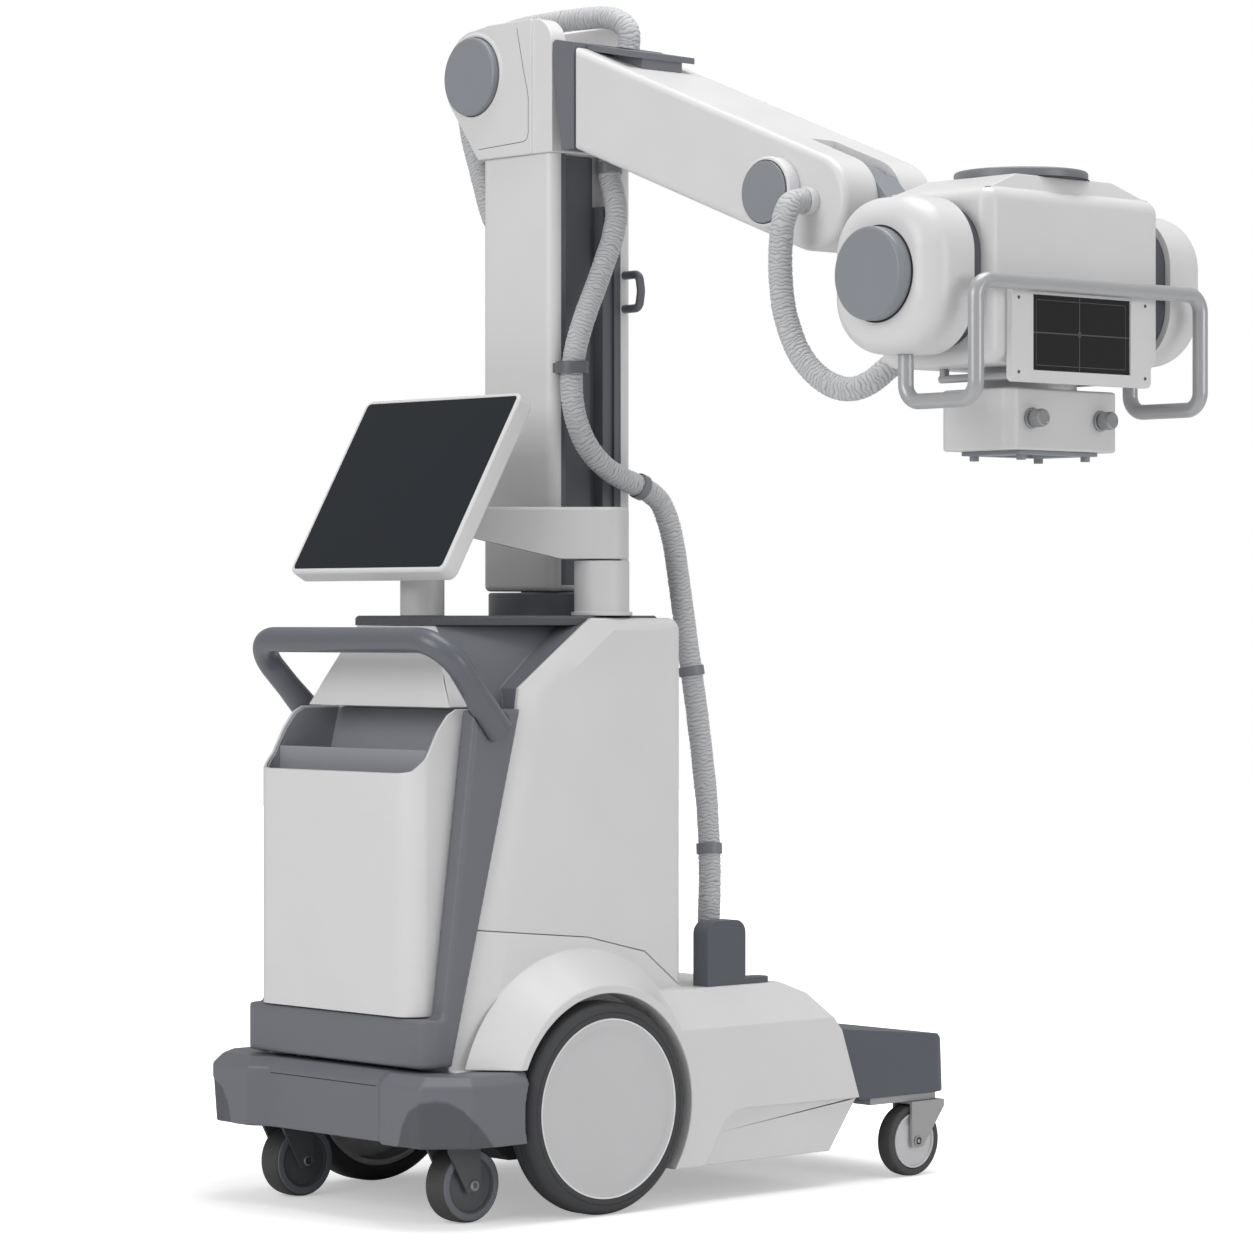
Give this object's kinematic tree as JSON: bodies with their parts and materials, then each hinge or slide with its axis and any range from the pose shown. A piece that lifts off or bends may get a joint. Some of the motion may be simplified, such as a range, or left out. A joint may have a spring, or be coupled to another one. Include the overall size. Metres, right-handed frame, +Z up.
{
  "type": "mobile x-ray machine",
  "caption": "Mobile x-ray machine: motor-driven base with storage bin, push handle and casters, turning column, tilting arm, tube head with collimator, and a swing-out monitor",
  "frame": {"origin": "on the floor, under the column's turning axis", "axes": "+X the way the machine drives, +Y its left side, +Z up; at rest the arm points to -Y"},
  "size_m": [1.143, 1.5175, 1.9618],
  "materials": {
    "white_cover": "moulded cover, satin",
    "white_metal": "powder coat, satin",
    "light_grey_plastic": "satin",
    "mid_grey_plastic": "satin",
    "dark_grey_plastic": "fine texture",
    "dark_metal": "powder coat, satin",
    "frame_metal": "powder coat",
    "grey_metal": "powder coat, satin",
    "light_grey_metal": "powder coat, satin",
    "bright_metal": "brushed",
    "black_tyre": "solid rubber",
    "grey_rubber": "seal",
    "hose": "ribbed sleeve",
    "screen_glass": "coated",
    "tube_glass": "clear",
    "pack": "coated"
  },
  "bodies": {
    "base": {"base_frame": "frame_metal", "nose_plate": "bright_metal", "lower_cover": "white_cover", "front_cap": "mid_grey_plastic", "rear_bumper": "mid_grey_plastic", "rear_panel": "mid_grey_plastic", "bin": "white_cover", "bin_liner": "mid_grey_plastic", "upper_cover": "white_cover", "deck": "mid_grey_plastic", "push_handle": "grey_metal", "power_units": "pack", "park_bracket": "mid_grey_plastic", "turning_ring": "dark_grey_plastic", "drive_motors": "dark_metal", "monitor_posts": "white_metal", "base_hose": "hose"},
    "right_drive_wheel": {"right_drive_tyre": "black_tyre", "right_drive_hub": "light_grey_plastic"},
    "left_drive_wheel": {"left_drive_tyre": "black_tyre", "left_drive_hub": "light_grey_plastic"},
    "column_body": {"column": "white_metal", "column_track": "grey_metal", "column_fittings": "dark_grey_plastic", "pivot_head": "white_metal", "lift_pin": "dark_metal", "column_hose": "hose", "over_hose": "hose"},
    "arm": {"arm_shell": "white_cover", "arm_collar": "mid_grey_plastic", "arm_fittings": "mid_grey_plastic", "head_hose": "hose"},
    "wrist": {"wrist_yoke": "dark_metal"},
    "tube_head": {"tube_housing": "white_cover", "xray_tube": "tube_glass", "seal_rings": "grey_rubber", "end_boots": "white_cover", "head_caps": "mid_grey_plastic", "head_panel": "white_cover", "panel_window": "screen_glass", "grab_rail": "light_grey_metal"},
    "collimator_box": {"collimator": "white_cover", "accessory_shoe": "dark_grey_plastic"},
    "left_knob": {"left_field_knob": "light_grey_plastic"},
    "right_knob": {"right_field_knob": "light_grey_plastic"},
    "monitor_arm": {"swing_arm": "white_metal"},
    "monitor": {"monitor_housing": "white_cover", "monitor_glass": "screen_glass"},
    "rear_right_fork": {"rear_right_caster_fork": "bright_metal"},
    "rear_right_wheel": {"rear_right_caster_tyre": "black_tyre", "rear_right_caster_hub": "light_grey_plastic"},
    "rear_left_fork": {"rear_left_caster_fork": "bright_metal"},
    "rear_left_wheel": {"rear_left_caster_tyre": "black_tyre", "rear_left_caster_hub": "light_grey_plastic"},
    "front_right_fork": {"front_right_caster_fork": "bright_metal"},
    "front_right_wheel": {"front_right_caster_tyre": "black_tyre", "front_right_caster_hub": "light_grey_plastic"},
    "front_left_fork": {"front_left_caster_fork": "bright_metal"},
    "front_left_wheel": {"front_left_caster_tyre": "black_tyre", "front_left_caster_hub": "light_grey_plastic"}
  },
  "joints": [
    {"name": "right_drive_spin", "type": "hinge", "parent": "base", "child": "right_drive_wheel", "pos_m": [-0.163, -0.285, 0.17], "axis": [0, 1, 0], "continuous": true},
    {"name": "left_drive_spin", "type": "hinge", "parent": "base", "child": "left_drive_wheel", "pos_m": [-0.163, 0.285, 0.17], "axis": [0, 1, 0], "continuous": true},
    {"name": "rear_right_swivel", "type": "hinge", "parent": "base", "child": "rear_right_fork", "pos_m": [-0.413, -0.212, 0.132], "axis": [0, 0, 1], "continuous": true},
    {"name": "rear_right_spin", "type": "hinge", "parent": "rear_right_fork", "child": "rear_right_wheel", "pos_m": [-0.383, -0.212, 0.06], "axis": [0, 1, 0], "continuous": true},
    {"name": "rear_left_swivel", "type": "hinge", "parent": "base", "child": "rear_left_fork", "pos_m": [-0.413, 0.212, 0.132], "axis": [0, 0, 1], "continuous": true},
    {"name": "rear_left_spin", "type": "hinge", "parent": "rear_left_fork", "child": "rear_left_wheel", "pos_m": [-0.383, 0.212, 0.06], "axis": [0, 1, 0], "continuous": true},
    {"name": "front_right_swivel", "type": "hinge", "parent": "base", "child": "front_right_fork", "pos_m": [0.59, -0.286, 0.132], "axis": [0, 0, 1], "continuous": true},
    {"name": "front_right_spin", "type": "hinge", "parent": "front_right_fork", "child": "front_right_wheel", "pos_m": [0.545, -0.286, 0.061], "axis": [0, 1, 0], "continuous": true},
    {"name": "front_left_swivel", "type": "hinge", "parent": "base", "child": "front_left_fork", "pos_m": [0.59, 0.286, 0.132], "axis": [0, 0, 1], "continuous": true},
    {"name": "front_left_spin", "type": "hinge", "parent": "front_left_fork", "child": "front_left_wheel", "pos_m": [0.545, 0.286, 0.061], "axis": [0, 1, 0], "continuous": true},
    {"name": "column_slew", "type": "hinge", "parent": "base", "child": "column_body", "pos_m": [0, 0, 0.97], "axis": [0, 0, 1], "range_deg": [-15, 180], "deforming": ["base_hose"]},
    {"name": "arm_lift", "type": "hinge", "parent": "column_body", "child": "arm", "pos_m": [0, 0.094, 1.853], "axis": [1, 0, 0], "range_deg": [-20, 5], "deforming": ["over_hose"]},
    {"name": "wrist_tilt", "type": "hinge", "parent": "arm", "child": "wrist", "pos_m": [0, -0.704, 1.588], "axis": [1, 0, 0], "range_deg": [-30, 30], "deforming": ["head_hose"]},
    {"name": "head_roll", "type": "hinge", "parent": "wrist", "child": "tube_head", "pos_m": [0, -0.94, 1.446], "axis": [0, 1, 0], "range_deg": [-90, 90]},
    {"name": "collimator_turn", "type": "hinge", "parent": "tube_head", "child": "collimator_box", "pos_m": [0, -1.0665, 1.32], "axis": [0, 0, 1], "range_deg": [-45, 45]},
    {"name": "left_knob_turn", "type": "hinge", "parent": "collimator_box", "child": "left_knob", "pos_m": [-0.075, -1.14, 1.242], "axis": [0, 1, 0], "range_deg": [0, 270]},
    {"name": "right_knob_turn", "type": "hinge", "parent": "collimator_box", "child": "right_knob", "pos_m": [0.075, -1.14, 1.242], "axis": [0, 1, 0], "range_deg": [0, 270]},
    {"name": "monitor_swing", "type": "hinge", "parent": "base", "child": "monitor_arm", "pos_m": [-0.062, -0.182, 1.065], "axis": [0, 0, 1], "range_deg": [0, 30]},
    {"name": "monitor_tilt", "type": "hinge", "parent": "monitor_arm", "child": "monitor", "pos_m": [-0.3, 0, 1.107], "axis": [0, 1, 0], "range_deg": [-20, 10]}
  ]
}
